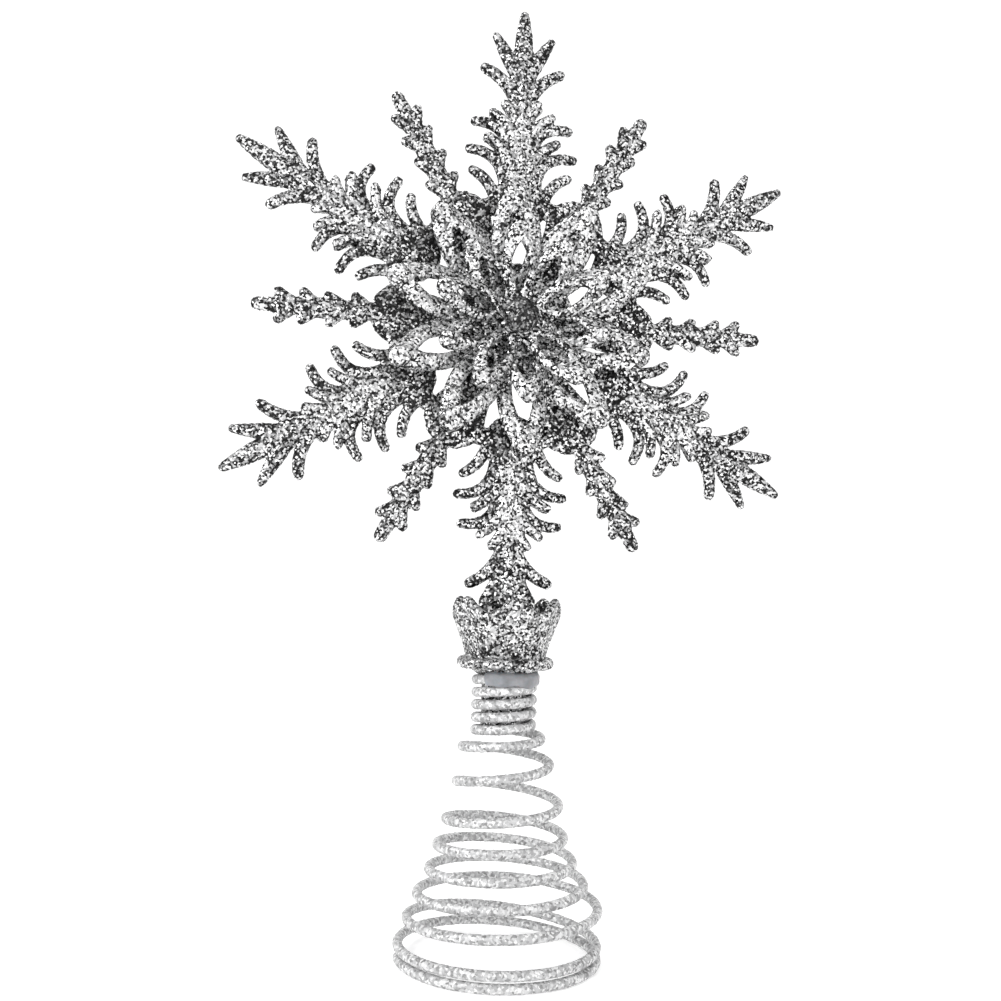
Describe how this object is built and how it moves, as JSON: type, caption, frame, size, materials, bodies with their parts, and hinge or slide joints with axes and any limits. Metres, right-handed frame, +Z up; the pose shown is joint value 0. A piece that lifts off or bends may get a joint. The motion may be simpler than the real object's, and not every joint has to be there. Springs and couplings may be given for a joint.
{
  "type": "snowflake tree topper",
  "caption": "Glitter snowflake with a layered petal flower in the middle, held in a pointed cup on a tapering wire spring that slips over the tip of a tree.",
  "frame": {"origin": "on the surface that the spring stands on, below the centre of the snowflake", "axes": "+Z up the spring to the top arm, -Y towards the flower's front, +X to the right seen from the front"},
  "size_m": [0.1476, 0.052, 0.247],
  "materials": {
    "glitter_wire": "steel wire coated with fine silver glitter",
    "glitter_plastic": "coarse silver glitter over dark grey plastic",
    "glitter_petal": "coarse silver glitter over dark grey plastic",
    "glitter_button": "dark grey and silver glitter",
    "glue": "smooth translucent grey hot glue"
  },
  "bodies": {
    "root": {"spring_base_ring": "glitter_wire", "spring_lower_turns": "glitter_wire"},
    "coil_a": {"spring_turn_a": "glitter_wire"},
    "coil_b": {"spring_turn_b": "glitter_wire"},
    "coil_c": {"spring_turn_c": "glitter_wire", "spring_upper_turns": "glitter_wire"},
    "topper": {"spring_neck_turns": "glitter_wire", "socket_cup": "glitter_plastic", "glue_band": "glue", "snowflake_plate": "glitter_plastic", "flower_outer_lower": "glitter_petal", "flower_outer_upper": "glitter_petal", "flower_inner_lower": "glitter_petal", "flower_inner_upper": "glitter_petal", "button_pin": "glitter_button", "rear_retainer": "glitter_plastic"}
  },
  "joints": [
    {"name": "spring_press", "type": "slide", "parent": "root", "child": "coil_a", "axis": [0, 0, 1], "range_m": [-0.008, 0.006], "stiffness_N_per_m": 150, "springref_m": 0.0075, "deforming": ["spring_lower_turns"]},
    {"name": "spring_nod", "type": "hinge", "parent": "coil_a", "child": "coil_b", "pos_m": [0.0184, 0, 0.0244], "axis": [1, 0, 0], "range_deg": [-8, 8], "stiffness_Nm_per_rad": 0.5},
    {"name": "spring_sway", "type": "hinge", "parent": "coil_b", "child": "coil_c", "pos_m": [0, 0.0149, 0.0323], "axis": [0, 1, 0], "range_deg": [-8, 8], "stiffness_Nm_per_rad": 0.5},
    {"name": "spring_press_upper", "type": "slide", "parent": "coil_c", "child": "topper", "axis": [0, 0, 1], "range_m": [-0.006, 0.0045], "deforming": ["spring_upper_turns"]}
  ],
  "couplings": [
    {"joint": "spring_press_upper", "follows": "spring_press", "ratio": 0.75}
  ]
}
